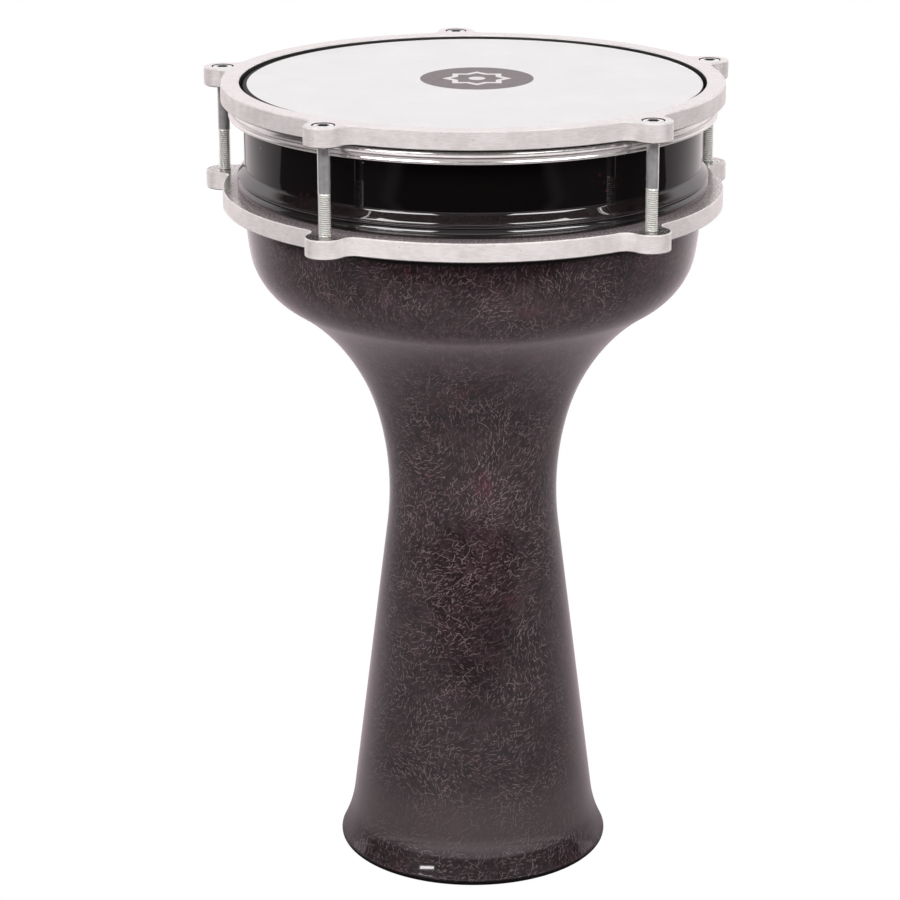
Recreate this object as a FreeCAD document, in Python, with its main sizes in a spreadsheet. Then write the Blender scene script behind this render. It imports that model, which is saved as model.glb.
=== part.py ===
import FreeCAD, Part
import math
import os
import re

import Sketcher
from FreeCAD import Vector

# Goblet drum. Millimetres, +Z up. The origin is the centre of the foot's resting plane,
# and the drum's axis is Z. The striking head is at the top.

DIMENSIONS = {
    # Spun metal shell, outside surface.
    "wall": 2.0,
    "foot_radius": 68.0,
    "foot_roll": 3.0,
    "foot_land_cut": 0.2,
    "foot_angle": 27.0,
    "cone_angle": 7.1,
    "waist_radius": 41.9,
    "waist_height": 189.0,
    "waist_curve": 150.0,
    "neck_angle": 15.0,
    "bowl_curve": 102.5,
    "bowl_angle": 58.3,
    "shoulder_curve": 36.5,
    "shoulder_angle": 9.5,
    "shell_radius": 110.8,
    # Bead at the top of the goblet, which the lower ring pulls against.
    "bead_height": 347.2,
    "bead_radius": 2.7,
    "bead_reach": 0.7,
    # Collar: the upper cylinder, with a flange below and a rolled bearing edge above.
    "flare_height": 355.93,
    "flare_curve": 5.0,
    "flare_angle": 62.0,
    "edge_height": 394.7,
    "edge_roll": 4.0,
    # Cast rings with lugs.
    "ring_inner": 112.5,
    "ring_outer": 121.5,
    "ring_thick": 9.0,
    "ring_chamfer": 0.5,
    "upper_ring_top": 396.3,
    "lower_ring_top": 344.9,
    "lug_count": 5,
    "lug_circle": 126.7,
    "lug_nose": 9.3,
    "lug_blend": 6.0,
    "lug_angle": -50.0,
    "counterbore_radius": 5.5,
    "counterbore_depth": 6.1,
    "clearance_radius": 3.3,
    "thread_bore": 3.0,
    # M6 x 50 socket cap screws.
    "screw_radius": 2.95,
    "screw_length": 50.0,
    "screw_end": 0.8,
    "cap_radius": 5.0,
    "cap_height": 6.0,
    "cap_chamfer": 0.5,
    "cap_lift": 0.02,
    "socket_flats": 5.0,
    "socket_depth": 3.0,
    # Drum head film.
    "film": 0.25,
    "film_gap": 0.05,
    "film_turn_height": 386.6,
    "film_turn": 1.2,
    "film_run": 1.0,
    "film_tuck": 0.8,
    "film_end": 382.6,
    # Aluminium channel hoop on the film's edge, and the resin that fills it.
    "hoop_outer": 118.0,
    "hoop_inner": 112.0,
    "hoop_wall": 0.8,
    "hoop_bottom": 380.25,
    "hoop_inner_top": 384.4,
    "hoop_crease": 384.6,
    "hoop_top_gap": 0.02,
    "hoop_lip": 114.3,
    "resin_top": 384.5,
    "resin_gap": 0.02,
}

BOLT_PLACES = ("front_right", "right", "back", "left", "front_left")


def bind(text):
    """An expression on the sheet, from one written with the bare names of its cells."""

    def cell(match):
        word = match.group(0)
        if word not in DIMENSIONS:
            return word
        degrees = " * 1 deg" if word.endswith("_angle") else ""
        return f"(dims.{word}{degrees})"

    return re.sub(r"[a-z]+(?:_[a-z]+)*", cell, text)


def make_sheet(doc):
    sheet = doc.addObject("Spreadsheet::Sheet", "dims")
    for row, (name, value) in enumerate(DIMENSIONS.items(), start=1):
        sheet.set(f"A{row}", name)
        sheet.set(f"B{row}", str(value))
        sheet.setAlias(f"B{row}", name)
    doc.recompute()
    return sheet


def make_body(doc, name):
    body = doc.addObject("PartDesign::Body", name)
    body.Label = name
    return body


def make_sketch(body, name, role):
    sketch = body.newObject("Sketcher::SketchObject", name)
    plane = next(f for f in body.Origin.OriginFeatures if f.Role == role)
    sketch.AttachmentSupport = [(plane, "")]
    sketch.MapMode = "FlatFace"
    return sketch


def place_arc(start, end, radius, turn):
    """A minor arc from start to end. turn is +1 for anticlockwise travel and -1 for clockwise."""
    chord = end - start
    middle = (start + end) * 0.5
    rise = math.sqrt(max(radius**2 - (chord.Length / 2) ** 2, 0))
    left = Vector(-chord.y, chord.x, 0).normalize()
    centre = middle + left * (rise * turn)
    first, last = (start, end) if turn > 0 else (end, start)
    angles = [math.atan2(p.y - centre.y, p.x - centre.x) for p in (first, last)]
    if angles[1] <= angles[0]:
        angles[1] += 2 * math.pi
    return Part.ArcOfCircle(Part.Circle(centre, Vector(0, 0, 1), radius), *angles)


def pin(sketch, edge, end, axis, text):
    """Holds one coordinate of a vertex at an expression."""
    if text == "0":
        line = -2 if axis == "X" else -1
        sketch.addConstraint(Sketcher.Constraint("PointOnObject", edge, end, line))
        return
    value = sketch.evalExpression(bind(text))
    rule = Sketcher.Constraint(f"Distance{axis}", -1, 1, edge, end, float(value))
    index = sketch.addConstraint(rule)
    sketch.setExpression(f"Constraints[{index}]", bind(text))


def outline(sketch, steps):
    """A closed outline. A step is the expressions (x, y) of a vertex, and for an arc that leaves
    that vertex also its radius and its turn."""
    points = [Vector(*(float(sketch.evalExpression(bind(t))) for t in s[:2]), 0) for s in steps]
    edges = []
    for i, step in enumerate(steps):
        start, end = points[i], points[(i + 1) % len(points)]
        if len(step) == 2:
            edges.append((sketch.addGeometry(Part.LineSegment(start, end)), 1, 2))
            continue
        radius = float(sketch.evalExpression(bind(step[2])))
        edge = sketch.addGeometry(place_arc(start, end, radius, step[3]))
        ends = (1, 2) if step[3] > 0 else (2, 1)
        edges.append((edge, *ends))
        index = sketch.addConstraint(Sketcher.Constraint("Radius", edge, radius))
        sketch.setExpression(f"Constraints[{index}]", bind(step[2]))
    for i, (edge, first, last) in enumerate(edges):
        following, following_first, _ = edges[(i + 1) % len(edges)]
        sketch.addConstraint(
            Sketcher.Constraint("Coincident", edge, last, following, following_first)
        )
        pin(sketch, edge, first, "X", steps[i][0])
        pin(sketch, edge, first, "Y", steps[i][1])


def circle(sketch, x, radius):
    """A circle centred on the sketch's horizontal axis."""
    at = Vector(float(sketch.evalExpression(bind(x))), 0, 0)
    size = float(sketch.evalExpression(bind(radius)))
    edge = sketch.addGeometry(Part.Circle(at, Vector(0, 0, 1), size))
    pin(sketch, edge, 3, "X", x)
    pin(sketch, edge, 3, "Y", "0")
    index = sketch.addConstraint(Sketcher.Constraint("Radius", edge, size))
    sketch.setExpression(f"Constraints[{index}]", bind(radius))


def revolve(body, name, steps):
    """A ring turned about Z from an outline of (radius, height) steps."""
    sketch = make_sketch(body, f"{name}_outline", "XZ_Plane")
    outline(sketch, steps)
    turned = body.newObject("PartDesign::Revolution", name)
    turned.Profile = (sketch, [""])
    turned.ReferenceAxis = (sketch, ["V_Axis"])
    turned.Angle = 360
    return turned


def pad_down(body, name, sketch, depth):
    pad = body.newObject("PartDesign::Pad", name)
    pad.Profile = (sketch, [""])
    pad.setExpression("Length", bind(depth))
    pad.Reversed = True
    return pad


def pocket_down(body, name, sketch, depth):
    pocket = body.newObject("PartDesign::Pocket", name)
    pocket.Profile = (sketch, [""])
    pocket.setExpression("Length", bind(depth))
    return pocket


def shell_chain():
    """Outer vertices of the goblet from its foot up to its straight side. Each is its radius, its
    height, its lean, and the radius and turn of the arc that leads up from it, if one does. Lean
    is the surface's angle from vertical, and is positive where the wall leans outwards. Every arc
    meets its neighbours tangentially."""
    foot_r = "(foot_radius - foot_roll + foot_roll * cos(foot_angle))"
    foot_z = "(foot_roll - foot_land_cut + foot_roll * sin(foot_angle))"
    stem_r = "(waist_radius + waist_curve * (1 - cos(cone_angle)))"
    stem_z = "(waist_height - waist_curve * sin(cone_angle))"
    flare = (
        f"(({foot_r} - {stem_r} - ({stem_z} - {foot_z}) * tan(cone_angle))"
        " / (cos(cone_angle) - cos(foot_angle)"
        " - (sin(foot_angle) - sin(cone_angle)) * tan(cone_angle)))"
    )
    flare_r = f"({foot_r} - {flare} * (cos(cone_angle) - cos(foot_angle)))"
    flare_z = f"({foot_z} + {flare} * (sin(foot_angle) - sin(cone_angle)))"
    neck_r = "(waist_radius + waist_curve * (1 - cos(neck_angle)))"
    neck_z = "(waist_height + waist_curve * sin(neck_angle))"
    bowl_r = f"({neck_r} + bowl_curve * (cos(neck_angle) - cos(bowl_angle)))"
    bowl_z = f"({neck_z} + bowl_curve * (sin(bowl_angle) - sin(neck_angle)))"
    shoulder_r = f"({bowl_r} + shoulder_curve * (cos(shoulder_angle) - cos(bowl_angle)))"
    shoulder_z = f"({bowl_z} + shoulder_curve * (sin(bowl_angle) - sin(shoulder_angle)))"
    side = f"((shell_radius - {shoulder_r}) / (1 - cos(shoulder_angle)))"
    side_z = f"({shoulder_z} + {side} * sin(shoulder_angle))"
    return [
        (foot_r, foot_z, "(-1 * foot_angle)", flare, -1),
        (flare_r, flare_z, "(-1 * cone_angle)", None, 0),
        (stem_r, stem_z, "(-1 * cone_angle)", "waist_curve", -1),
        (neck_r, neck_z, "neck_angle", "bowl_curve", -1),
        (bowl_r, bowl_z, "bowl_angle", "shoulder_curve", 1),
        (shoulder_r, shoulder_z, "shoulder_angle", side, 1),
        ("shell_radius", side_z, "(0 * cone_angle)", None, 0),
    ]


def make_goblet(doc):
    """Bowl, stem and foot: one spun wall, with a bead at the top and a rolled rim at the foot.
    The outline runs up the outside, over the bead, and down the inside at the wall's thickness."""
    body = make_body(doc, "goblet_body")
    chain = shell_chain()
    outer = []
    for r, z, _, curve, turn in chain:
        outer.append((r, z, curve, turn) if curve else (r, z))
    bead_z = "bead_height"
    bead_r = "shell_radius + bead_reach"
    outer += [
        ("shell_radius", f"{bead_z} - bead_radius"),
        (bead_r, f"{bead_z} - bead_radius", "bead_radius", 1),
        (f"{bead_r} + bead_radius", bead_z, "bead_radius", 1),
        (bead_r, f"{bead_z} + bead_radius"),
        ("shell_radius", f"{bead_z} + bead_radius", "wall", 1),
        ("shell_radius - wall", f"{bead_z} + bead_radius - wall"),
    ]
    inner = []
    for i in range(len(chain) - 1, -1, -1):
        r, z, lean, _, _ = chain[i]
        point = (f"{r} - wall * cos({lean})", f"{z} + wall * sin({lean})")
        curve, turn = chain[i - 1][3:5] if i > 0 else (None, 0)
        if curve:
            grown = "wall" if turn < 0 else "0 - wall"
            point += (f"{curve} + {grown}", -turn)
        inner.append(point)
    revolve(body, "spun_wall", outer + inner)
    roll_r = "foot_radius - foot_roll"
    roll_z = "foot_roll - foot_land_cut"
    land = f"sqrt(foot_roll * foot_roll - ({roll_z}) * ({roll_z}))"
    revolve(
        body,
        "foot_rim",
        [
            (f"{roll_r} - {land}", "0"),
            (f"{roll_r} + {land}", "0", "foot_roll", 1),
            (roll_r, f"{roll_z} + foot_roll", "foot_roll", 1),
        ],
    )
    return body


def make_collar(doc):
    """Upper cylinder: it sits on the goblet's bead and carries the head on its rolled edge."""
    body = make_body(doc, "shell_collar")
    outer_r = "shell_radius + flare_curve * (1 - cos(flare_angle))"
    outer_z = "flare_height - flare_curve * sin(flare_angle)"
    under_r = f"{outer_r} - wall * cos(flare_angle)"
    under_z = f"{outer_z} - wall * sin(flare_angle)"
    tip_r = f"{outer_r} - wall / 2 * cos(flare_angle) + wall / 2 * sin(flare_angle)"
    tip_z = f"{outer_z} - wall / 2 * sin(flare_angle) - wall / 2 * cos(flare_angle)"
    bend_z = "edge_height - edge_roll"
    crown_r = "shell_radius - edge_roll"
    revolve(
        body,
        "collar_wall",
        [
            (under_r, under_z, "wall / 2", 1),
            (tip_r, tip_z, "wall / 2", 1),
            (outer_r, outer_z, "flare_curve", -1),
            ("shell_radius", "flare_height"),
            ("shell_radius", bend_z, "edge_roll", 1),
            (crown_r, "edge_height", "edge_roll", 1),
            (f"{crown_r} - edge_roll", bend_z),
            (f"{crown_r} - edge_roll + wall", bend_z, "edge_roll - wall", -1),
            (crown_r, "edge_height - wall", "edge_roll - wall", -1),
            ("shell_radius - wall", bend_z),
            ("shell_radius - wall", "flare_height", "flare_curve + wall", 1),
        ],
    )
    return body


def rim_edges(shape, heights):
    """Names of the ring's contour edges at the given heights, apart from those of its holes."""
    near = 1e-3
    largest_hole = DIMENSIONS["counterbore_radius"] + near
    names = []
    for i, edge in enumerate(shape.Edges, start=1):
        box = edge.BoundBox
        flat = any(abs(box.ZMin - z) < near and abs(box.ZMax - z) < near for z in heights)
        hole = isinstance(edge.Curve, Part.Circle) and edge.Curve.Radius < largest_hole
        if flat and not hole:
            names.append(f"Edge{i}")
    return names


def make_ring(doc, name, top, holes):
    """A cast ring with lugs. Its top face is in the body's XY plane, and one lug is on +X."""
    body = make_body(doc, name)
    band = make_sketch(body, f"{name}_band_outline", "XY_Plane")
    circle(band, "0", "ring_outer")
    circle(band, "0", "ring_inner")
    pad_down(body, f"{name}_band", band, "ring_thick")
    reach = "(ring_outer + lug_blend)"
    swing = (
        f"acos((lug_circle * lug_circle + {reach} * {reach}"
        f" - (lug_nose + lug_blend) * (lug_nose + lug_blend)) / (2 * lug_circle * {reach}))"
    )
    root = (f"ring_outer * cos({swing})", f"ring_outer * sin({swing})")
    share = "lug_nose / (lug_nose + lug_blend)"
    side = (
        f"lug_circle + {share} * ({reach} * cos({swing}) - lug_circle)",
        f"{share} * {reach} * sin({swing})",
    )
    lug = make_sketch(body, f"{name}_lug_outline", "XY_Plane")
    outline(
        lug,
        [
            (root[0], f"0 - {root[1]}", "lug_blend", -1),
            (side[0], f"0 - {side[1]}", "lug_nose", 1),
            ("lug_circle + lug_nose", "0", "lug_nose", 1),
            (side[0], side[1], "lug_blend", -1),
            (root[0], root[1]),
        ],
    )
    repeated = [pad_down(body, f"{name}_lug", lug, "ring_thick")]
    for hole, radius, depth in holes:
        sketch = make_sketch(body, f"{name}_{hole}_outline", "XY_Plane")
        circle(sketch, "lug_circle", radius)
        repeated.append(pocket_down(body, f"{name}_{hole}", sketch, depth))
    pattern = body.newObject("PartDesign::PolarPattern", f"{name}_lugs")
    pattern.Originals = repeated
    pattern.Axis = (band, ["N_Axis"])
    pattern.Angle = 360
    pattern.setExpression("Occurrences", bind("lug_count"))
    body.Tip = pattern
    doc.recompute()
    chamfer = body.newObject("PartDesign::Chamfer", f"{name}_edges")
    edges = rim_edges(pattern.Shape, (0, -DIMENSIONS["ring_thick"]))
    chamfer.Base = (pattern, edges)
    chamfer.setExpression("Size", bind("ring_chamfer"))
    body.Tip = chamfer
    body.setExpression("Placement.Base.z", bind(top))
    body.setExpression("Placement.Rotation.Angle", bind("lug_angle"))
    return body


def make_screw(doc, place, index):
    """A socket cap screw. The top of its head is in the body's XY plane."""
    name = f"tension_bolt_{place}"
    body = make_body(doc, name)
    end = "0 - cap_height - screw_length"
    revolve(
        body,
        f"{name}_blank",
        [
            ("0", "0"),
            ("0", end),
            ("screw_radius - screw_end", end),
            ("screw_radius", f"{end} + screw_end"),
            ("screw_radius", "0 - cap_height"),
            ("cap_radius", "0 - cap_height"),
            ("cap_radius", "0 - cap_chamfer"),
            ("cap_radius - cap_chamfer", "0"),
        ],
    )
    socket = make_sketch(body, f"{name}_socket_outline", "XY_Plane")
    corner = "(socket_flats / 2 / cos(30 deg))"
    corners = []
    for degrees in range(30, 390, 60):
        x = "0" if degrees % 180 == 90 else f"{corner} * cos({degrees} deg)"
        corners.append((x, f"{corner} * sin({degrees} deg)"))
    outline(socket, corners)
    pocket_down(body, f"{name}_socket", socket, "socket_depth")
    bearing = f"(lug_angle + {index} * 360 deg / lug_count)"
    body.setExpression("Placement.Base.x", bind(f"lug_circle * cos({bearing})"))
    body.setExpression("Placement.Base.y", bind(f"lug_circle * sin({bearing})"))
    height = "upper_ring_top - counterbore_depth + cap_height + cap_lift"
    body.setExpression("Placement.Base.z", bind(height))
    return body


def make_film(doc):
    """Drum head: flat over the bearing edge, down the collar, and out into the hoop."""
    body = make_body(doc, "drum_head")
    crown_r = "shell_radius - edge_roll"
    bend_z = "edge_height - edge_roll"
    near = "shell_radius + film_gap"
    far = f"{near} + film"
    out_r = f"{far} + film_turn"
    low_z = "film_turn_height - film_turn"
    run_r = f"{out_r} + film_run"
    tuck_z = f"{low_z} - film_tuck"
    revolve(
        body,
        "film_sheet",
        [
            ("0", "edge_height + film_gap"),
            (crown_r, "edge_height + film_gap", "edge_roll + film_gap", -1),
            (near, bend_z),
            (near, "film_turn_height", "film_turn + film", 1),
            (out_r, f"{low_z} - film"),
            (run_r, f"{low_z} - film", "film_tuck - film", -1),
            (f"{run_r} + film_tuck - film", tuck_z),
            (f"{run_r} + film_tuck - film", "film_end"),
            (f"{run_r} + film_tuck", "film_end"),
            (f"{run_r} + film_tuck", tuck_z, "film_tuck", 1),
            (run_r, low_z),
            (out_r, low_z, "film_turn", -1),
            (far, "film_turn_height"),
            (far, bend_z, "edge_roll + film_gap + film", 1),
            (crown_r, "edge_height + film_gap + film"),
            ("0", "edge_height + film_gap + film"),
        ],
    )
    return body


def make_hoop(doc):
    """Channel hoop, open at the top where its outer wall curls in over the resin."""
    body = make_body(doc, "head_hoop")
    top = "(upper_ring_top - ring_thick - hoop_top_gap)"
    curl = f"({top} - hoop_crease)"
    floor = "hoop_bottom + hoop_wall"
    revolve(
        body,
        "hoop_channel",
        [
            ("hoop_inner", "hoop_bottom"),
            ("hoop_outer", "hoop_bottom"),
            ("hoop_outer", "hoop_crease", curl, 1),
            (f"hoop_outer - {curl}", top),
            ("hoop_lip", top),
            ("hoop_lip", f"{top} - hoop_wall"),
            (f"hoop_outer - {curl}", f"{top} - hoop_wall", f"{curl} - hoop_wall", -1),
            ("hoop_outer - hoop_wall", "hoop_crease"),
            ("hoop_outer - hoop_wall", floor),
            ("hoop_inner + hoop_wall", floor),
            ("hoop_inner + hoop_wall", "hoop_inner_top"),
            ("hoop_inner", "hoop_inner_top"),
        ],
    )
    return body


def make_resin(doc):
    """Resin that fills the channel and holds the film's turned-down edge in a slit."""
    body = make_body(doc, "hoop_resin")
    tail_far = "shell_radius + film_gap + film + film_turn + film_run + film_tuck"
    slit_near = f"{tail_far} - film - resin_gap"
    slit_far = f"{tail_far} + resin_gap"
    inner = "hoop_inner + hoop_wall + resin_gap"
    outer = "hoop_outer - hoop_wall - resin_gap"
    floor = "hoop_bottom + hoop_wall + resin_gap"
    revolve(
        body,
        "resin_fill",
        [
            (inner, floor),
            (outer, floor),
            (outer, "resin_top"),
            (slit_far, "resin_top"),
            (slit_far, "film_end - resin_gap"),
            (slit_near, "film_end - resin_gap"),
            (slit_near, "resin_top"),
            (inner, "resin_top"),
        ],
    )
    return body


def make_parts(doc):
    parts = [
        make_goblet(doc),
        make_collar(doc),
        make_ring(doc, "lower_ring", "lower_ring_top", [("thread", "thread_bore", "ring_thick")]),
        make_ring(
            doc,
            "tension_ring",
            "upper_ring_top",
            [
                ("clearance", "clearance_radius", "ring_thick"),
                ("counterbore", "counterbore_radius", "counterbore_depth"),
            ],
        ),
        make_film(doc),
        make_hoop(doc),
        make_resin(doc),
    ]
    parts += [make_screw(doc, place, i) for i, place in enumerate(BOLT_PLACES)]
    return parts


def check(doc, parts):
    for item in doc.Objects:
        bad = {"Invalid", "Error"} & set(item.State)
        if bad:
            raise RuntimeError(f"{item.Name} failed: {sorted(bad)}")
    for part in parts:
        if part.Shape.isNull() or not part.Shape.isValid():
            raise RuntimeError(f"{part.Label} has no valid shape")
        if len(part.Shape.Solids) != 1:
            raise RuntimeError(f"{part.Label} isn't one solid")


def main():
    doc = FreeCAD.newDocument("goblet_drum")
    make_sheet(doc)
    parts = make_parts(doc)
    doc.recompute()
    check(doc, parts)
    os.makedirs("parts", exist_ok=True)
    for part in parts:
        part.Shape.exportStep(f"parts/{part.Label}.step")


main()
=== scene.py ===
"""Looks of a goblet drum: a crackle-painted spun shell with a gloss black collar,
two cast alloy rings, a rolled hoop, five socket screws and a white film head."""

import math

import bpy
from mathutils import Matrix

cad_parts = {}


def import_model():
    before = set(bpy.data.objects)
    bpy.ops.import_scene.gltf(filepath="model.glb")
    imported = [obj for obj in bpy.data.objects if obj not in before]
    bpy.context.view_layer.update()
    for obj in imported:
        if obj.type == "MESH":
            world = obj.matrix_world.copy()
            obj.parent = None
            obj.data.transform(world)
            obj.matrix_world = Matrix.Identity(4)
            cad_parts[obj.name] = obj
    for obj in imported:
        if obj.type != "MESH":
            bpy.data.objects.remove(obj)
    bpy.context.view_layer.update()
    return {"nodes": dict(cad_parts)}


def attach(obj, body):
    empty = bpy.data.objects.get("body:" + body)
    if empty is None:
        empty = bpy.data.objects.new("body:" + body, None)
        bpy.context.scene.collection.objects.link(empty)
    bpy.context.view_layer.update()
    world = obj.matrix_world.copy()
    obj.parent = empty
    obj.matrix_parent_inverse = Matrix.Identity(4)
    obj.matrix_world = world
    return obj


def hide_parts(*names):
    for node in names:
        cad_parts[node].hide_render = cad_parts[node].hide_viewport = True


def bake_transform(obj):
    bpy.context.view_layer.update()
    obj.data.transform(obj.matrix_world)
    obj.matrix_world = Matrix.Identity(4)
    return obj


# Goblet and collar, in millimetres. A lean is an angle from vertical, in degrees, and is
# positive where the wall leans outwards.
WALL = 2.0
ROLL_CENTRE = (65.0, 2.8)
ROLL_RADIUS = 3.0
LAND_ANGLE = 68.96
FOOT_LEAN = -27.0
CONE_LEAN = -7.1
WAIST = (41.9, 189.0)
WAIST_CURVE = 150.0
NECK_LEAN = 15.0
BOWL_CURVE = 102.5
BOWL_LEAN = 58.3
SHOULDER_CURVE = 36.5
SHOULDER_LEAN = 9.5
SHELL_RADIUS = 110.8
BEAD_CENTRE = (111.5, 347.2)
BEAD_RADIUS = 2.7
FLARE_LIP_CENTRE = (112.38, 351.35)
FLARE_LIP_RADIUS = 1.6
FLARE_SLOPE = 38.0
FLARE_CORNER_CENTRE = (113.30, 356.83)
FLARE_CORNER_RADIUS = 2.5
EDGE_CENTRE = (106.8, 390.7)
EDGE_RADIUS = 4.0

# Screws and head, in metres
LUG_CIRCLE = 0.1267
LUG_START = -50.0
LUG_STEP = 72.0
BOLT_PLACES = ("front_right", "right", "back", "left", "front_left")

CAP_TOP = 0.39622
CAP_RADIUS = 0.005
CAP_HEIGHT = 0.006
CAP_CHAMFER = 0.0005
SOCKET_FLATS = 0.005
SOCKET_DEPTH = 0.003
SCREW_RADIUS = 0.00295
SCREW_END = 0.34022
SCREW_TAPER = 0.0007
THREAD_TOP = 0.3652
PITCH = 0.001
THREAD_DEPTH = 0.00056

FILM_TOP = 0.395
FILM_SIDE = 0.1111
FILM_BEND = 0.0013
FILM_FOOT = 0.3866
COAT_RADIUS = 0.1096
COAT_SHIFT = 0.0009
BADGE_RADIUS = 0.0276
BADGE_X = 0.0019
BADGE_Y = 0.0060

WHITE = (1.0, 1.0, 1.0, 1.0)


# ---------------------------------------------------------------- shader helpers


class Graph:
    """A shader tree, with short calls for the nodes used here."""

    def __init__(self, tree):
        self.tree = tree
        tree.nodes.clear()

    def feed(self, socket, value):
        if isinstance(value, bpy.types.NodeSocket):
            self.tree.links.new(value, socket)
        elif value is not None:
            socket.default_value = value

    def node(self, kind, inputs=None, **settings):
        made = self.tree.nodes.new(kind)
        for key, value in settings.items():
            setattr(made, key, value)
        for key, value in (inputs or {}).items():
            self.feed(made.inputs[key], value)
        return made

    def math(self, operation, *values):
        made = self.node("ShaderNodeMath", dict(enumerate(values)), operation=operation)
        return made.outputs[0]

    def times(self, first, second):
        return self.math("MULTIPLY", first, second)

    def plus(self, first, second):
        return self.math("ADD", first, second)

    def minus(self, first, second):
        return self.math("SUBTRACT", first, second)

    def vector(self, operation, *values):
        made = self.node(
            "ShaderNodeVectorMath", dict(enumerate(values)), operation=operation
        )
        return made.outputs[1 if operation in ("LENGTH", "DOT_PRODUCT") else 0]

    def split(self, vector):
        return self.node("ShaderNodeSeparateXYZ", {0: vector}).outputs

    def join(self, x, y, z):
        return self.node("ShaderNodeCombineXYZ", {0: x, 1: y, 2: z}).outputs[0]

    def fade(self, value, start, end, low=0.0, high=1.0):
        """low up to start, high from end on, smooth between; start may lie above end."""
        if start > end:
            start, end, low, high = end, start, high, low
        made = self.node(
            "ShaderNodeMapRange",
            {0: value, 1: start, 2: end, 3: low, 4: high},
            interpolation_type="SMOOTHSTEP",
        )
        return made.outputs[0]

    def blend(self, share, first, second):
        made = self.node(
            "ShaderNodeMix", {0: share, 6: first, 7: second}, data_type="RGBA"
        )
        return made.outputs[2]

    def noise(self, place, scale, detail=2.0, rough=0.5, bend=0.0, seed=0.0):
        made = self.node(
            "ShaderNodeTexNoise",
            {
                "Vector": place,
                "W": seed,
                "Scale": scale,
                "Detail": detail,
                "Roughness": rough,
                "Distortion": bend,
            },
            noise_dimensions="4D",
        )
        return made.outputs[0]

    def scaled(self, colour, share):
        made = self.node("ShaderNodeVectorMath", {0: colour, 3: share}, operation="SCALE")
        return made.outputs[0]

    def facing_up(self):
        return self.split(self.node("ShaderNodeNewGeometry").outputs["Normal"])[2]

    def lines(self, place, scale, width, detail=2.0, rough=0.5, bend=0.0, seed=0.0):
        """Thin wandering lines, where a noise passes its middle value."""
        level = self.noise(place, scale, detail, rough, bend, seed)
        off = self.math("ABSOLUTE", self.minus(level, 0.5))
        return self.fade(off, width, 0.0)

    def specks(self, place, scale, size, share, seed=0.0):
        """Round dots, on a share of the cells of a scattered grid."""
        moved = self.vector("ADD", place, (seed, seed * 0.7, seed * 1.3))
        cells = self.node("ShaderNodeTexVoronoi", {"Vector": moved, "Scale": scale})
        dot = self.fade(cells.outputs["Distance"], size, size * 0.4)
        chosen = self.split(cells.outputs["Color"])[0]
        return self.times(dot, self.math("LESS_THAN", chosen, share))


def painted(name):
    """An empty material, its graph, and the place on the drum in metres."""
    material = bpy.data.materials.new(name)
    material.use_nodes = True
    g = Graph(material.node_tree)
    place = g.node("ShaderNodeTexCoord").outputs["Object"]
    return material, g, place


def surface(g, bump=None, lift=0.0, **inputs):
    """Ends a graph with a principled surface; lift is the bump's height in metres."""
    names = {key.replace("_", " ").title(): value for key, value in inputs.items()}
    names = {key.replace("Ior", "IOR"): value for key, value in names.items()}
    shader = g.node("ShaderNodeBsdfPrincipled", names)
    if bump is not None:
        raised = g.node("ShaderNodeBump", {"Height": bump, "Distance": lift, "Strength": 1.0})
        g.feed(shader.inputs["Normal"], raised.outputs[0])
    out = g.node("ShaderNodeOutputMaterial")
    g.feed(out.inputs["Surface"], shader.outputs[0])


def reach_out(g, place):
    """How far the place is from the drum's axis."""
    x, y, _ = g.split(place)
    return g.vector("LENGTH", g.join(x, y, 0.0))


def unrolled(g, place, radius):
    """The place with its way round the axis laid out flat, as at that radius."""
    x, y, z = g.split(place)
    return g.join(g.times(g.math("ARCTAN2", y, x), radius), z, reach_out(g, place))


# --------------------------------------------------------------------- materials


def hairs(g, place, scale, width, seed):
    """Short curved strokes, one in each cell of a scattered grid, lying in the surface."""
    moved = g.vector("ADD", place, (seed, seed * 1.7, seed * 0.6))
    cells = g.node("ShaderNodeTexVoronoi", {"Vector": moved, "Scale": scale})
    offset = g.vector("SUBTRACT", moved, cells.outputs["Position"])
    x, y, _ = g.split(place)
    round_way = g.vector("NORMALIZE", g.join(g.times(y, -1.0), x, 0.0))
    across = g.vector("DOT_PRODUCT", offset, round_way)
    up = g.split(offset)[2]
    chance = g.split(cells.outputs["Color"])
    flow = g.times(g.minus(g.noise(place, 24.0, 1.0, 0.5, 0.0, seed), 0.45), 9.0)
    turn = g.plus(flow, chance[0])
    sine, cosine = g.math("SINE", turn), g.math("COSINE", turn)
    along = g.plus(g.times(across, cosine), g.times(up, sine))
    aside = g.minus(g.times(up, cosine), g.times(across, sine))
    bow = g.times(g.minus(chance[1], 0.5), 150.0)
    wave = g.times(g.minus(g.noise(place, 420.0, 1.0), 0.5), 0.0011)
    aside = g.plus(aside, g.times(bow, g.times(along, along)))
    aside = g.math("ABSOLUTE", g.plus(aside, wave))
    stroke = g.fade(aside, width, width * 0.35)
    ends = g.fade(g.math("ABSOLUTE", along), 0.42 / scale, 0.30 / scale)
    return g.times(stroke, g.times(ends, g.fade(chance[2], 0.05, 0.60)))


def inward(g, place):
    """1 on faces that look towards the axis, 0 on the others."""
    x, y, _ = g.split(place)
    outward = g.vector("NORMALIZE", g.join(x, y, 0.0))
    normal = g.node("ShaderNodeNewGeometry").outputs["Normal"]
    facing = g.vector("DOT_PRODUCT", normal, outward)
    return g.fade(facing, 0.05, -0.15)


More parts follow.
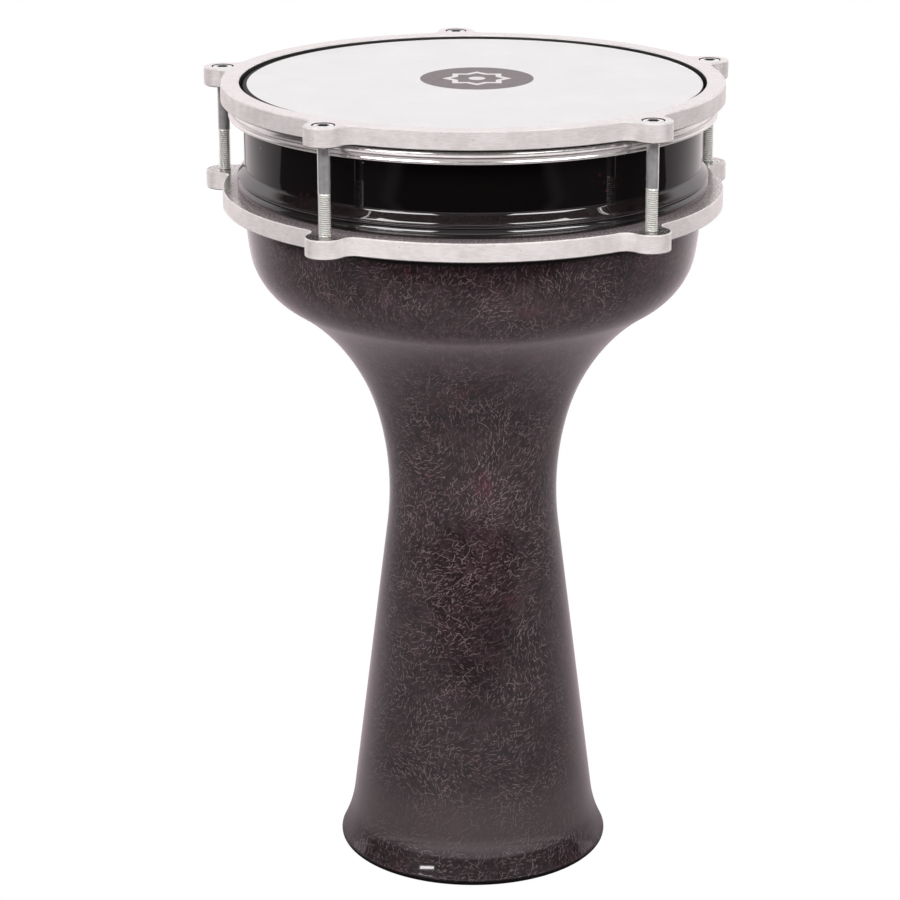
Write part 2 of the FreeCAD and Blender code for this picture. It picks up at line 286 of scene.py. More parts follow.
def crackle_strokes(g, place, height, lip_glare):
    """How strongly the pale strokes and grains show, and the finest grain by itself."""
    veins = hairs(g, place, 125.0, 0.00026, 0.0)
    veins = g.math("MAXIMUM", veins, hairs(g, place, 240.0, 0.00026, 0.313))
    veins = g.math("MAXIMUM", veins, hairs(g, place, 370.0, 0.00027, 0.771))
    veins = g.math("MAXIMUM", veins, g.specks(place, 430.0, 0.26, 0.14, 0.31))
    fine = g.noise(place, 900.0, 2.0, 0.6, 0.0, 4.0)
    veins = g.math("MAXIMUM", veins, g.fade(fine, 0.58, 0.72, 0.0, 0.6))
    veins = g.times(veins, g.fade(g.noise(place, 46.0, 3.0, 0.65), 0.38, 0.60, 0.36, 1.0))
    # Painted reflection: the strokes fade where the wall is seen edge-on, standing in for the
    # coat's glare that hides them there.
    edge_on = g.node("ShaderNodeLayerWeight", {"Blend": 0.5}).outputs["Facing"]
    veins = g.times(veins, g.fade(edge_on, 0.30, 0.75, 1.0, 0.42))
    veins = g.times(veins, g.fade(height, 0.20, 0.27, 1.0, 0.65))
    # In the band of painted reflection on the foot's flare the strokes are a little muted.
    return g.times(veins, g.fade(lip_glare, 0.0, 1.0, 1.0, 0.85)), fine


def crackle_colour(g, place, height, lip_glare, veins, fine):
    """Brown-black ground with wine-red patches under pale strokes, darker lower down as painted
    shade and lightened on the foot's flare by a painted reflection.
    """
    cells = g.noise(place, 210.0, 4.0, 0.75, 0.5, 5.0)
    base = g.blend(g.fade(cells, 0.36, 0.64), (0.0135, 0.0052, 0.0070, 1.0),
                   (0.043, 0.0225, 0.0285, 1.0))
    patch = g.fade(g.noise(place, 60.0, 2.0, 0.5, 0.0, 6.0), 0.38, 0.60, 0.70, 1.10)
    base = g.scaled(base, g.times(patch, g.fade(fine, 0.30, 0.46, 0.55, 1.0)))
    wine = g.fade(g.noise(place, 40.0, 3.0, 0.65, 0.5, 2.0), 0.58, 0.70)
    base = g.blend(g.times(wine, 0.45), base, (0.070, 0.018, 0.026, 1.0))
    pale = g.blend(wine, (0.230, 0.166, 0.178, 1.0), (0.245, 0.104, 0.124, 1.0))
    # Painted shade: the colour is darker low on the goblet and lighter up on the bowl, for how the
    # light falls on it.
    shade = g.plus(g.fade(height, 0.04, 0.20, 0.46, 0.78), g.fade(height, 0.22, 0.28, 0.0, 0.18))
    colour = g.scaled(g.blend(veins, base, pale), shade)
    # Painted reflection: the band low on the foot's flare is lightened towards grey, standing in
    # for the table's reflection.
    return g.blend(g.times(lip_glare, 0.50), colour, (0.066, 0.050, 0.054, 1.0))


def crackle_paint():
    """The goblet: lacquered crackle paint outside, plain black on the bead, black on the lower
    half of the rolled rim at the foot, and bare spun metal inside. The black band just under the
    lower ring is painted shade."""
    material, g, place = painted("crackle_paint")
    height = g.split(place)[2]
    # The band low on the foot's flare that holds a painted reflection of the table.
    lip_glare = g.times(g.fade(height, 0.0125, 0.0195), g.fade(height, 0.056, 0.028))
    veins, fine = crackle_strokes(g, place, height, lip_glare)
    colour = crackle_colour(g, place, height, lip_glare, veins, fine)

    black = (0.003, 0.002, 0.002, 1.0)
    # Black from just under the lower ring up over the bead: the bead's black is its paint, while
    # the visible band under the ring is painted shade.
    plain = g.fade(height, 0.3302, 0.3332)
    # Darkened and with little coat: the band under the lower ring, which is painted shade, and the
    # lower half of the foot's rolled rim.
    shadow = g.math("MAXIMUM", g.times(plain, g.fade(height, 0.3372, 0.3362)),
                    g.fade(height, 0.0032, 0.0024))
    colour = g.blend(shadow, g.blend(plain, colour, black), black)

    spun = g.noise(unrolled(g, place, 0.01), 900.0, 3.0, 0.7)
    bare = g.blend(g.fade(spun, 0.35, 0.65), (0.34, 0.33, 0.32, 1.0), (0.52, 0.51, 0.50, 1.0))
    inner = g.times(inward(g, place), g.fade(height, 0.0024, 0.0032))
    outer = g.minus(1.0, inner)
    colour = g.blend(inner, colour, bare)

    bloom = g.times(g.fade(height, 0.09, 0.18, 0.72, 0.14), g.fade(height, 0.02, 0.06, 0.6, 1.0))
    bloom = g.plus(bloom, g.fade(height, 0.23, 0.27, 0.0, 0.18))
    bloom = g.times(g.times(bloom, g.fade(shadow, 0.0, 1.0, 1.0, 0.0)), outer)
    satin = g.times(g.fade(height, 0.235, 0.265), g.fade(height, 0.322, 0.300))
    relief = g.plus(g.times(veins, 0.5), g.noise(place, 110.0, 2.0, 0.5, 0.0, 8.0))
    # Painted reflection: the goblet glows faintly in glossy rays, so its reflections in itself are
    # lighter.
    mirrored = g.node("ShaderNodeLightPath").outputs["Is Glossy Ray"]
    surface(g, relief, 0.00006, base_color=colour, metallic=g.times(inner, 0.7),
            roughness=g.fade(inner, 0.0, 1.0, 0.6, 0.38), specular_ior_level=0.15,
            coat_weight=g.times(g.fade(shadow, 0.0, 1.0, 1.0, 0.25), outer),
            coat_ior=g.fade(height, 0.3415, 0.3435, 1.5, 1.8),
            coat_roughness=g.fade(satin, 0.0, 1.0, 0.05, 0.24),
            sheen_weight=bloom, sheen_roughness=0.35, sheen_tint=(1.0, 0.82, 0.90, 1.0),
            emission_color=(1.0, 0.88, 0.93, 1.0), emission_strength=g.times(mirrored, 0.28))
    return material


def black_gloss():
    """Black stoved enamel with red specks and dust, thicker and grainy on the flare."""
    material, g, place = painted("black_gloss")
    dust = g.specks(place, 160.0, 0.13, 0.11, 0.2)
    rust = g.times(g.fade(g.noise(place, 520.0, 3.0, 0.7, 0.0, 7.0), 0.55, 0.68),
                   g.fade(g.noise(place, 34.0, 2.0, 0.6, 0.0, 4.0), 0.56, 0.66))
    colour = g.blend(rust, (0.0042, 0.0034, 0.0036, 1.0), (0.060, 0.014, 0.019, 1.0))
    colour = g.blend(dust, colour, (0.12, 0.11, 0.11, 1.0))
    flare = g.fade(g.split(place)[2], 0.3566, 0.3556)
    grain = g.fade(g.noise(place, 1300.0, 3.0, 0.7), 0.40, 0.62)
    colour = g.blend(g.times(flare, grain), colour, (0.024, 0.016, 0.017, 1.0))
    ripple = g.noise(place, 40.0, 2.0, 0.5)
    surface(g, ripple, 0.00003, base_color=colour, roughness=0.5, specular_ior_level=0.0,
            coat_weight=1.0, coat_roughness=0.02, coat_ior=g.fade(flare, 0.0, 1.0, 1.5, 1.8))
    return material


def lug_reach(g, place):
    """How far a point is from the axis of the nearest screw."""
    x, y, _ = g.split(place)
    half_step = math.radians(LUG_STEP / 2)
    turn = g.minus(g.math("ARCTAN2", y, x), math.radians(LUG_START))
    turn = g.math("WRAP", turn, half_step, -half_step)
    out = reach_out(g, place)
    ahead = g.minus(g.times(out, g.math("COSINE", turn)), LUG_CIRCLE)
    beside = g.times(out, g.math("SINE", turn))
    return g.vector("LENGTH", g.join(ahead, beside, 0.0))


def cast_alloy():
    """Tumbled cast aluminium, milled above and below. The lower ring's top is mottled, with
    painted shade by the collar; bores, counterbores and undersides are darkened as painted shade,
    and the upper ring's colour is a little darker as painted shade."""
    material, g, place = painted("cast_alloy")
    x, y, z = g.split(place)
    out = reach_out(g, place)
    grain = g.noise(place, 1100.0, 3.0, 0.7)
    cloud = g.noise(place, 90.0, 3.0, 0.65, 0.3, 2.0)
    drag = g.noise(g.join(x, y, g.times(z, 7.0)), 260.0, 3.0, 0.6, 0.0, 3.0)
    pits = g.specks(place, 420.0, 0.22, 0.10, 0.4)
    level = g.facing_up()
    milled = g.math("MAXIMUM", g.fade(level, 0.80, 0.95), g.fade(level, -0.30, -0.60))
    rugged = g.minus(1.0, milled)
    upper = g.fade(z, 0.36, 0.38)
    lower_top = g.times(milled, g.minus(1.0, upper))

    tone = g.plus(g.times(cloud, 0.5), g.times(drag, 0.5))
    colour = g.blend(g.fade(tone, 0.36, 0.64), (0.82, 0.785, 0.772, 1.0),
                     (0.98, 0.955, 0.945, 1.0))
    colour = g.blend(g.times(pits, g.times(rugged, 0.4)), colour, (0.40, 0.37, 0.36, 1.0))
    colour = g.blend(g.times(milled, 0.7), colour, (0.84, 0.82, 0.825, 1.0))
    # Painted shade: the ring bores are darkened.
    painted_bore_shade = g.times(g.fade(out, 0.1130, 0.1126), g.fade(z, 0.39595, 0.3956))
    colour = g.blend(g.times(painted_bore_shade, rugged), colour, (0.05, 0.047, 0.047, 1.0))
    # Painted shade on the lower ring's top, darkest by the collar.
    painted_collar_shade = g.times(g.fade(out, 0.1155, 0.1205, 0.75, 0.0), lower_top)
    colour = g.blend(painted_collar_shade, colour, (0.20, 0.17, 0.165, 1.0))
    mottle = g.fade(g.noise(place, 1000.0, 3.0, 0.7, 0.0, 9.0), 0.40, 0.60, 0.85, 0.1)
    colour = g.blend(g.times(mottle, lower_top), colour, (0.16, 0.13, 0.125, 1.0))
    # Painted shade: the upper ring's colour is a little darker.
    colour = g.scaled(colour, g.fade(upper, 0.0, 1.0, 1.0, 0.93))
    # Painted shade: the counterbores and screw holes are darkened.
    painted_counterbore_shade = g.times(g.fade(lug_reach(g, place), 0.0058, 0.0056), rugged)
    colour = g.blend(painted_counterbore_shade, colour, (0.03, 0.028, 0.028, 1.0))
    # Painted shade: faces that look down are darker.
    colour = g.blend(g.fade(level, -0.2, -0.5), colour, (0.35, 0.34, 0.33, 1.0))

    height = g.minus(g.plus(grain, drag), g.times(pits, 0.6))
    height = g.times(height, g.fade(g.times(milled, upper), 0.0, 1.0, 1.0, 0.25))
    rough = g.minus(g.fade(grain, 0.3, 0.7, 0.36, 0.50), g.times(milled, 0.20))
    surface(g, height, 0.00005, base_color=colour, roughness=rough,
            metallic=g.fade(milled, 0.0, 1.0, 0.45, 0.95))
    return material


def hoop_alloy():
    """Bright rolled hoop with faint lines round it, and painted shadow on its top where the ring
    sits on it.
    """
    material, g, place = painted("hoop_alloy")
    drawn = g.noise(unrolled(g, place, 0.02), 900.0, 2.0, 0.6)
    cloud = g.noise(place, 60.0, 2.0, 0.6)
    colour = g.blend(g.fade(cloud, 0.3, 0.7), (0.86, 0.84, 0.82, 1.0), (0.96, 0.95, 0.94, 1.0))
    # Painted shadow: the top of the hoop under the ring is near black.
    painted_ring_shadow = g.fade(g.split(place)[2], 0.3857, 0.3861)
    colour = g.blend(painted_ring_shadow, colour, (0.012, 0.011, 0.011, 1.0))
    surface(g, drawn, 0.000002, base_color=colour, metallic=0.85,
            roughness=g.fade(drawn, 0.3, 0.7, 0.14, 0.22))
    return material


def zinc_steel():
    """Bright zinc plate with fine handling marks and a paler thread; the thread's roots, the
    head's steep sides and the socket's walls are darkened as painted shade.
    """
    material, g, place = painted("zinc_steel")
    height = g.split(place)[2]
    cloud = g.noise(place, 260.0, 3.0, 0.6, 0.4)
    marks = g.lines(g.vector("MULTIPLY", place, (1.0, 1.0, 0.35)), 900.0, 0.02, 1.0)
    colour = g.blend(g.fade(cloud, 0.3, 0.7), (0.74, 0.745, 0.745, 1.0),
                     (0.92, 0.92, 0.925, 1.0))
    thread = g.fade(height, THREAD_TOP, THREAD_TOP - 0.0002)
    colour = g.blend(g.times(thread, 0.7), colour, (0.97, 0.98, 0.92, 1.0))
    # Painted shade: the thread's roots are darker.
    root = g.times(thread, g.fade(lug_reach(g, place), 0.00285, 0.00260))
    colour = g.blend(g.times(root, 0.35), colour, (0.30, 0.31, 0.28, 1.0))
    # Painted shade: the head's steep faces, its sides down in the counterbore and the socket's
    # walls, are near black.
    steep = g.fade(g.math("ABSOLUTE", g.facing_up()), 0.95, 0.85)
    inside = g.times(g.fade(height, 0.3900, 0.3902), steep)
    colour = g.blend(g.times(inside, 0.85), colour, (0.03, 0.03, 0.03, 1.0))
    surface(g, marks, 0.000002, base_color=colour,
            metallic=g.fade(thread, 0.0, 1.0, 0.72, 0.40),
            roughness=g.fade(cloud, 0.3, 0.7, 0.10, 0.17))
    return material


def resin_fill():
    """Amber casting resin that holds the film in the hoop."""
    material, g, place = painted("resin_fill")
    cloud = g.noise(place, 90.0, 3.0, 0.6, 0.8)
    bubbles = g.specks(place, 900.0, 0.3, 0.2)
    colour = g.blend(cloud, (0.30, 0.22, 0.12, 1.0), (0.46, 0.38, 0.24, 1.0))
    surface(g, bubbles, 0.00005, base_color=colour, roughness=0.2, coat_weight=0.5)
    return material


def film_coat():
    """White brushed-on coating on a clear film, with a printed round badge."""
    material, g, place = painted("film_coat")
    x, y, _ = g.split(place)
    off = g.join(g.minus(x, COAT_SHIFT), y, 0.0)
    far = g.vector("LENGTH", off)
    edge = g.plus(far, g.times(g.noise(place, 60.0, 2.0), 0.0003))
    coated = g.fade(edge, COAT_RADIUS + 0.0003, COAT_RADIUS)
    cloud = g.noise(place, 35.0, 4.0, 0.6)
    stipple = g.noise(place, 700.0, 2.0, 0.6)
    white = g.blend(g.fade(cloud, 0.35, 0.7), (0.745, 0.745, 0.755, 1.0),
                    (0.785, 0.78, 0.785, 1.0))
    white = g.blend(g.fade(stipple, 0.35, 0.7, 0.0, 0.25), white, (0.71, 0.71, 0.72, 1.0))
    colour = g.blend(coated, (0.006, 0.006, 0.007, 1.0), white)

    u = g.minus(x, BADGE_X)
    v = g.minus(y, BADGE_Y)
    reach = g.vector("LENGTH", g.join(u, v, 0.0))
    printed = g.fade(reach, BADGE_RADIUS, BADGE_RADIUS - 0.0003)
    worn = g.fade(g.noise(place, 300.0, 2.0), 0.3, 0.7)
    ink = g.blend(worn, (0.122, 0.097, 0.104, 1.0), (0.152, 0.126, 0.132, 1.0))
    colour = g.blend(printed, colour, ink)
    colour = g.blend(star_mark(g, u, v), colour, (0.74, 0.72, 0.73, 1.0))
    surface(g, stipple, 0.00002, base_color=colour, roughness=0.42,
            specular_ior_level=g.fade(coated, 0.0, 1.0, 0.05, 0.35))
    return material


def star_mark(g, u, v):
    """An eight-pointed star of two crossed squares round a small disc."""
    half = 0.0105
    width = 0.0026
    upright = g.math("MAXIMUM", g.math("ABSOLUTE", u), g.math("ABSOLUTE", v))
    leaning = g.plus(g.math("ABSOLUTE", u), g.math("ABSOLUTE", v))
    leaning = g.times(leaning, math.sqrt(0.5))
    rim = g.math("MINIMUM", upright, leaning)
    rim = g.math("ABSOLUTE", g.minus(rim, half))
    star = g.fade(rim, width / 2 + 0.0002, width / 2)
    reach = g.vector("LENGTH", g.join(u, v, 0.0))
    disc = g.fade(reach, 0.0042, 0.0039)
    return g.math("MAXIMUM", star, disc)


# ------------------------------------------------------------------------ meshes


def mesh_object(name, points, faces, material):
    mesh = bpy.data.meshes.new(name)
    mesh.from_pydata(points, [], faces)
    mesh.materials.append(material)
    mesh.update()
    made = bpy.data.objects.new(name, mesh)
    bpy.context.scene.collection.objects.link(made)
    return made


def lofted(rows, count, centre=(0.0, 0.0)):
    """Rings of points, each row (distance out, height); a distance may depend on the
    angle. A row of distance None is one point on the axis."""
    points, faces, starts = [], [], []
    for out, height in rows:
        starts.append(len(points))
        if out is None:
            points.append((centre[0], centre[1], height))
            continue
        for k in range(count):
            turn = 2 * math.pi * k / count
            reach = out(turn) if callable(out) else out
            points.append((centre[0] + reach * math.cos(turn),
                           centre[1] + reach * math.sin(turn), height))
    for (a, b), (first, second) in zip(zip(starts, starts[1:]), zip(rows, rows[1:])):
        for k in range(count):
            n = (k + 1) % count
            if first[0] is None:
                faces.append((a, b + n, b + k))
            elif second[0] is None:
                faces.append((a + k, a + n, b))
            else:
                faces.append((a + k, a + n, b + n, b + k))
    return points, faces


def smooth(made, angle=35.0):
    """Smooth shading that keeps edges sharper than the angle."""
    made.data.shade_smooth()
    made.data.set_sharp_from_angle(angle=math.radians(angle))
    return made


def film_rows():
    """The head film from its middle to its foot, top side then under side."""
    steps = 8
    top = [(None, FILM_TOP)]
    top += [(FILM_SIDE * k / 14, FILM_TOP) for k in range(1, 14)]
    top += [(FILM_SIDE - FILM_BEND * 1.6, FILM_TOP)]
    for k in range(steps + 1):
        turn = math.pi / 2 * k / steps
        top.append((FILM_SIDE - FILM_BEND * (1 - math.sin(turn)),
                    FILM_TOP - FILM_BEND * (1 - math.cos(turn))))
    drop = FILM_TOP - FILM_BEND - FILM_FOOT
    top += [(FILM_SIDE, FILM_TOP - FILM_BEND - drop * k / 6) for k in range(1, 7)]
    return top


def make_film(material):
    points, faces = lofted(film_rows(), 192)
    made = smooth(mesh_object("head_film", points, [f[::-1] for f in faces], material), 60)
    thick = made.modifiers.new("thickness", "SOLIDIFY")
    thick.thickness = 0.00025
    thick.offset = -1.0
    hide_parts("drum_head")
    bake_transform(made)
    return made


def between(first, last, steps):
    """The points that divide the line between two others."""
    return [tuple(a + (b - a) * k / steps for a, b in zip(first, last))
            for k in range(1, steps)]


def bend(start, radius, lean, end, steps):
    """Rows of a tangent arc that goes up a wall, as (distance out, height, lean). The radius
    is positive where the wall bulges."""
    rows = []
    first = math.radians(lean)
    for k in range(steps + 1):
        turn = math.radians(lean + (end - lean) * k / steps)
        rows.append((start[0] + radius * (math.cos(turn) - math.cos(first)),
                     start[1] - radius * (math.sin(turn) - math.sin(first)),
                     turn))
    return rows


def arc(centre, radius, start, end, steps):
    """Rows of an arc round a centre; the angles are in degrees up from level."""
    turns = [math.radians(start + (end - start) * k / steps) for k in range(steps + 1)]
    return [(centre[0] + radius * math.cos(t), centre[1] + radius * math.sin(t)) for t in turns]


def goblet_wall():
    """The goblet's outer wall from above the rolled rim to the straight side."""
    cone, foot = math.radians(-CONE_LEAN), math.radians(-FOOT_LEAN)
    rim = (ROLL_CENTRE[0] + ROLL_RADIUS * math.cos(foot),
           ROLL_CENTRE[1] + ROLL_RADIUS * math.sin(foot))
    stem = (WAIST[0] + WAIST_CURVE * (1 - math.cos(cone)),
            WAIST[1] - WAIST_CURVE * math.sin(cone))
    flare = ((rim[0] - stem[0] - (stem[1] - rim[1]) * math.tan(cone))
             / (math.cos(cone) - math.cos(foot)
                - (math.sin(foot) - math.sin(cone)) * math.tan(cone)))
    rows = bend(rim, -flare, FOOT_LEAN, CONE_LEAN, 14)
    rows += between(rows[-1], (*stem, -cone), 24)
    rows += bend(stem, -WAIST_CURVE, CONE_LEAN, NECK_LEAN, 20)
    rows += bend(rows[-1], -BOWL_CURVE, NECK_LEAN, BOWL_LEAN, 26)[1:]
    rows += bend(rows[-1], SHOULDER_CURVE, BOWL_LEAN, SHOULDER_LEAN, 26)[1:]
    side = (SHELL_RADIUS - rows[-1][0]) / (1 - math.cos(math.radians(SHOULDER_LEAN)))
    rows += bend(rows[-1], side, SHOULDER_LEAN, 0.0, 8)[1:]
    return rows


def make_goblet(material):
    """Bowl, stem and foot as one turned wall, with a bead on top and a rolled rim below."""
    wall = goblet_wall()
    outer = [(r, z) for r, z, _ in wall]
    inner = [(r - WALL * math.cos(lean), z + WALL * math.sin(lean)) for r, z, lean in wall]
    inner = [row for row in inner if row[1] > ROLL_CENTRE[1] + ROLL_RADIUS + 0.1]
    bead_foot = (SHELL_RADIUS, BEAD_CENTRE[1] - BEAD_RADIUS)
    top_roll = (SHELL_RADIUS, BEAD_CENTRE[1] + BEAD_RADIUS - WALL)
    rows = arc(ROLL_CENTRE, ROLL_RADIUS, -LAND_ANGLE, -FOOT_LEAN, 12) + outer[1:]
    rows += between(outer[-1], bead_foot, 4) + [bead_foot]
    rows += [(BEAD_CENTRE[0] - 0.1, bead_foot[1])]
    rows += arc(BEAD_CENTRE, BEAD_RADIUS, -90.0, 90.0, 20)
    rows += arc(top_roll, WALL, 90.0, 180.0, 6)
    rows += inner[::-1] + arc(ROLL_CENTRE, ROLL_RADIUS, 97.5, 180.0 + LAND_ANGLE, 16)
    return turned(rows + rows[:1], "goblet_shell", "goblet_body", material)


def make_collar(material):
    """The upper cylinder, flared and rolled below, and rolled in above for the head."""
    rows = arc(FLARE_LIP_CENTRE, FLARE_LIP_RADIUS, -128.0, FLARE_SLOPE, 16)
    corner = arc(FLARE_CORNER_CENTRE, FLARE_CORNER_RADIUS, 180.0 + FLARE_SLOPE, 180.0, 10)
    rows += between(rows[-1], corner[0], 3) + corner
    rows += between((SHELL_RADIUS, FLARE_CORNER_CENTRE[1]), (SHELL_RADIUS, EDGE_CENTRE[1]), 8)
    rows += arc(EDGE_CENTRE, EDGE_RADIUS, 0.0, 180.0, 24)
    rows += arc(EDGE_CENTRE, EDGE_RADIUS - WALL, 180.0, 0.0, 12)
    rows += [(108.8, 356.83), (109.0, 354.7), (110.0, 352.3)]
    return turned(rows + rows[:1], "collar_shell", "shell_collar", material)


def turned(rows, name, node, material):
    """A closed outline in millimetres turned about the axis, in place of a CAD node."""
    points, faces = lofted([(r / 1000, z / 1000) for r, z in rows], 288)
    made = smooth(mesh_object(name, points, faces, material), 30)
    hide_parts(node)
    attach(made, "shell")
    return made


def make_hoop(material):
    """The rolled hoop: a bulged band over a groove and a small bead."""
    rows = [(0.1120, 0.38725), (0.1159, 0.38725), (0.1165, 0.38700), (0.11695, 0.38650),
            (0.11730, 0.38580), (0.11760, 0.38510), (0.11778, 0.38450), (0.11788, 0.38360),
            (0.11788, 0.38220), (0.11762, 0.38195), (0.11762, 0.38178), (0.11788, 0.38148),
            (0.11798, 0.38115), (0.11798, 0.38065), (0.11775, 0.38030), (0.1120, 0.38030),
            (0.1120, 0.38725)]
    points, faces = lofted(rows, 240)
    made = smooth(mesh_object("rolled_hoop", points, [f[::-1] for f in faces], material), 50)
    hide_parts("head_hoop")
    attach(made, "tension_assembly")
    return made


def hexagon(apothem):
    """A hexagonal outline as a distance for each angle."""
    def reach(turn):
        return apothem / math.cos((turn % (math.pi / 3)) - math.pi / 6)
    return reach


def knurl(radius, depth, teeth):
    def reach(turn):
        return radius - depth * (0.5 - 0.5 * math.cos(teeth * turn))
    return reach


def cap_rows():
    """The screw's head, from under the head over the top into the socket."""
    under = CAP_TOP - CAP_HEIGHT
    floor = CAP_TOP - SOCKET_DEPTH
    teeth = knurl(CAP_RADIUS, 0.00018, 36)
    socket = hexagon(SOCKET_FLATS / 2)
    mouth = hexagon(SOCKET_FLATS / 2 + 0.00018)
    return [
        (SCREW_RADIUS, under),
        (CAP_RADIUS - 0.0003, under),
        (CAP_RADIUS - 0.0002, under + 0.0003),
        (teeth, under + 0.0005),
        (teeth, CAP_TOP - 0.0014),
        (CAP_RADIUS - 0.00002, CAP_TOP - 0.0011),
        (CAP_RADIUS - 0.00002, CAP_TOP - CAP_CHAMFER),
        (CAP_RADIUS - 0.00012, CAP_TOP - 0.00022),
        (CAP_RADIUS - CAP_CHAMFER, CAP_TOP),
        (mouth, CAP_TOP),
        (socket, CAP_TOP - 0.00018),
        (socket, floor),
        (None, floor - 0.0008),
    ]


def thread_mesh(centre):
    """The screw's plain shank, its helical thread and its end, as points and faces."""
    count = 24
    # Crest and root of the thread, as (share of the pitch, share of the depth)
    profile = ((0.0, 0.0), (0.16, 0.0), (0.50, 1.0), (0.66, 1.0))
    turns = int(round((THREAD_TOP - SCREW_END) / PITCH)) + 1
    steps = count * turns
    points, faces = [], []
    for i in range(steps + 1):
        turn = 2 * math.pi * i / count
        for share, depth in profile:
            height = THREAD_TOP + PITCH - PITCH * (i / count + share)
            start = min(1.0, max(0.0, (THREAD_TOP - height) / (PITCH * 1.2)))
            near_end = max(0.0, SCREW_END + 0.0008 - height) / 0.0008
            reach = SCREW_RADIUS - THREAD_DEPTH * depth * start
            reach = min(reach, SCREW_RADIUS - SCREW_TAPER * min(1.0, near_end))
            height = min(max(height, SCREW_END), THREAD_TOP)
            points.append((centre[0] + reach * math.cos(turn),
                           centre[1] + reach * math.sin(turn), height))
    width = len(profile)
    for i in range(steps):
        for j in range(width):
            a, b = i * width + j, (i + 1) * width + j
            if j < width - 1:
                faces.append((a, a + 1, b + 1, b))
            elif i + 1 + count <= steps:
                faces.append((a, (i + count) * width, (i + 1 + count) * width, b))
    whole = [face for face in faces
             if len({points[k] for k in face}) > 2 and len({points[k][2] for k in face}) > 1]
    return points, whole


def make_bolt(place, material):
    angle = math.radians(LUG_START + LUG_STEP * BOLT_PLACES.index(place))
    centre = (LUG_CIRCLE * math.cos(angle), LUG_CIRCLE * math.sin(angle))
    points, faces = lofted(cap_rows(), 144, centre)
    shank = [(SCREW_RADIUS, CAP_TOP - CAP_HEIGHT + 0.0001), (SCREW_RADIUS, THREAD_TOP)]
    tip = SCREW_RADIUS - SCREW_TAPER
    end = [(tip, SCREW_END), (tip * 0.7, SCREW_END - 0.00001), (None, SCREW_END)]
    for (more, sides), step in ((lofted(shank, 48, centre), -1), (thread_mesh(centre), 1),
                                (lofted(end, 24, centre), -1)):
        offset = len(points)
        points += more
        faces += [tuple(offset + k for k in side[::step]) for side in sides]
    made = smooth(mesh_object("screw_" + place, points, faces, material))
    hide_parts("tension_bolt_" + place)
    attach(made, "bolt_" + place)
    return made


# ------------------------------------------------------------------------ studio


def camera_parts(g, vector):
    """How far a vector points right of the camera and away from it, level with the floor."""
    def as_seen(value):
        made = g.node("ShaderNodeVectorTransform", {0: value}, vector_type="VECTOR",
                      convert_from="WORLD", convert_to="CAMERA")
        return made.outputs[0]

    up = g.split(as_seen((0.0, 0.0, 1.0)))
    level = g.join(0.0, g.times(up[2], -1.0), up[1])
    there = as_seen(vector)
    return g.split(there)[0], g.vector("DOT_PRODUCT", there, level)


def window(g, value, low, high, soft):
    """One between low and high, nothing outside, with soft sides."""
    return g.times(g.fade(value, low - soft, low + soft),
                  g.fade(value, high + soft, high - soft))


def make_world():
    """A white sweep behind and at the sides, a dim room in front with a low pale card, two
    soft boxes, a small lamp and a soft ceiling. Angles are in degrees, and side is 0 towards
    the camera. The camera itself sees plain white."""
    world = bpy.data.worlds.new("studio")
    world.use_nodes = True
    bpy.context.scene.world = world
    g = Graph(world.node_tree)
    toward = g.node("ShaderNodeTexCoord").outputs["Generated"]
    right, away = camera_parts(g, toward)
    side = g.math("DEGREES", g.math("ARCTAN2", right, g.times(away, -1.0)))
    wide = g.math("ABSOLUTE", side)
    height = g.math("DEGREES", g.math("ARCSINE", g.split(toward)[2]))

    walls = g.times(g.fade(wide, 104.0, 105.0), g.fade(height, 62.0, 50.0))
    walls = g.times(walls, g.fade(wide, 106.0, 128.0, 0.6, 1.0))
    high = g.times(g.fade(height, 22.0, 30.0), g.fade(wide, 132.0, 118.0))
    walls = g.times(walls, g.minus(1.0, high))
    boxes = g.times(window(g, wide, 21.0, 61.0, 1.0), window(g, height, 27.0, 52.0, 1.0))
    lamp = g.times(window(g, side, -47.0, -34.5, 0.6), window(g, height, 17.4, 19.6, 0.5))
    ceiling = g.fade(height, 63.0, 78.0)
    card_top = g.times(g.math("COSINE", g.math("RADIANS", side)), 11.0)
    card = g.times(g.fade(g.minus(height, card_top), 0.8, -0.8),
                   g.fade(wide, 85.0, 40.0, 0.30, 0.95))
    card = g.times(card, g.minus(1.0, walls))
    room = g.times(g.fade(wide, 88.0, 60.0), g.fade(height, 75.0, 40.0))

    light = g.plus(walls, 0.02)
    for part, strength in ((boxes, 8.0), (lamp, 20.0), (ceiling, 0.65), (card, 1.0), (room, 0.15)):
        light = g.plus(light, g.times(part, strength))
    seen = g.node("ShaderNodeLightPath").outputs["Is Camera Ray"]
    light = g.plus(g.times(light, g.minus(1.0, seen)), seen)
    tint = g.blend(g.fade(height, 8.0, 20.0), (1.0, 0.920, 0.945, 1.0),
                   (1.0, 0.980, 0.978, 1.0))
    tint = g.blend(seen, tint, WHITE)
    glow = g.node("ShaderNodeBackground", {"Color": tint, "Strength": light})
    out = g.node("ShaderNodeOutputWorld")
    g.feed(out.inputs["Surface"], glow.outputs[0])


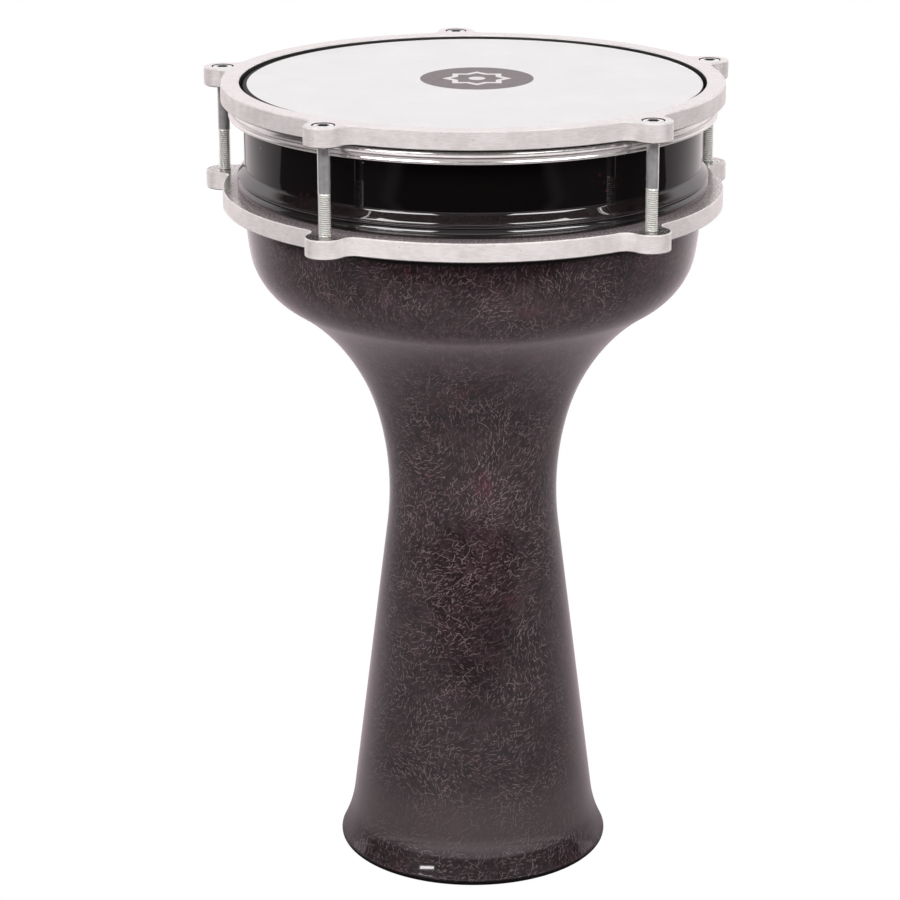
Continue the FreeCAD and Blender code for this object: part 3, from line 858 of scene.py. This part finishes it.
def make_floor():
    """A pale table under the sweep. The camera sees it white, and looks through it from
    below. What the drum reflects and is lit by is dimmer near the foot, in front and at the
    ends. Distances are in metres."""
    points, faces = lofted([(None, -0.0003), (1.0, -0.0003), (4.0, -0.0003)], 64)
    material = bpy.data.materials.new("floor_white")
    material.use_nodes = True
    g = Graph(material.node_tree)
    geometry = g.node("ShaderNodeNewGeometry").outputs
    place = geometry["Position"]
    right, away = camera_parts(g, place)
    wide = g.math("ABSOLUTE", right)

    rear = g.times(g.fade(away, 0.20, 1.10, 0.0, 0.60), g.fade(wide, 1.60, 0.80, 0.4, 1.0))
    front = g.times(g.fade(away, -0.10, -0.30), g.fade(wide, 0.55, 0.25, 0.0, 0.16))
    level = g.plus(g.plus(rear, front), 0.36)
    gap = g.times(g.fade(away, -0.48, -0.85), g.fade(wide, 1.20, 0.90))
    level = g.times(level, g.minus(1.0, gap))
    ends = g.times(g.fade(away, 0.54, 0.50), g.fade(wide, 0.95, 1.20))
    level = g.times(level, g.minus(1.0, g.times(ends, 0.85)))
    skim = g.math("ABSOLUTE", g.split(geometry["Incoming"])[2])
    skim = g.times(g.fade(skim, 0.095, 0.05),
                   g.times(g.fade(away, 0.0, -0.10), g.fade(wide, 1.2, 0.6)))
    level = g.plus(level, g.times(skim, g.minus(0.88, level)))
    reach = g.vector("LENGTH", place)
    # Painted contact shadow: the floor's light is dimmer near the foot.
    level = g.times(level, g.fade(reach, 0.066, 0.11, 0.25, 1.0))
    path = g.node("ShaderNodeLightPath").outputs
    level = g.times(level, g.plus(1.0, g.times(path["Is Diffuse Ray"], 1.1)))

    seen = path["Is Camera Ray"]
    light = g.math("MAXIMUM", seen, level)
    tint = g.blend(seen, (1.0, 0.905, 0.925, 1.0), WHITE)
    glow = g.node("ShaderNodeEmission", {"Color": tint, "Strength": light})
    clear = g.node("ShaderNodeBsdfTransparent")
    mixed = g.node("ShaderNodeMixShader",
                   {0: geometry["Backfacing"], 1: glow.outputs[0], 2: clear.outputs[0]})
    out = g.node("ShaderNodeOutputMaterial")
    g.feed(out.inputs["Surface"], mixed.outputs[0])
    floor = mesh_object("floor", points, [f[::-1] for f in faces], material)


def make_camera():
    """Seen from a little above, from 1.6 m away."""
    data = bpy.data.cameras.new("camera")
    data.lens = 122.46
    data.sensor_width = 36.0
    data.shift_x = -0.0255
    data.shift_y = 0.0005
    data.clip_end = 20.0
    camera = bpy.data.objects.new("camera", data)
    bpy.context.scene.collection.objects.link(camera)
    camera.location = (0.0, -1.4567, 0.6846)
    camera.rotation_euler = (math.radians(71.87), 0.0, 0.0)
    bpy.context.scene.camera = camera


# -------------------------------------------------------------------------- drum


def dress(nodes, names, material):
    for name in names:
        data = nodes[name].data
        data.materials.clear()
        data.materials.append(material)


def main():
    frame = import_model()
    nodes = frame["nodes"]

    make_goblet(crackle_paint())
    make_collar(black_gloss())
    dress(nodes, ["tension_ring", "lower_ring"], cast_alloy())
    dress(nodes, ["hoop_resin"], resin_fill())
    make_hoop(hoop_alloy())
    make_film(film_coat())
    steel = zinc_steel()
    for place in BOLT_PLACES:
        make_bolt(place, steel)

    make_world()
    make_floor()
    make_camera()
    scene = bpy.context.scene
    scene.view_settings.view_transform = "Standard"


main()
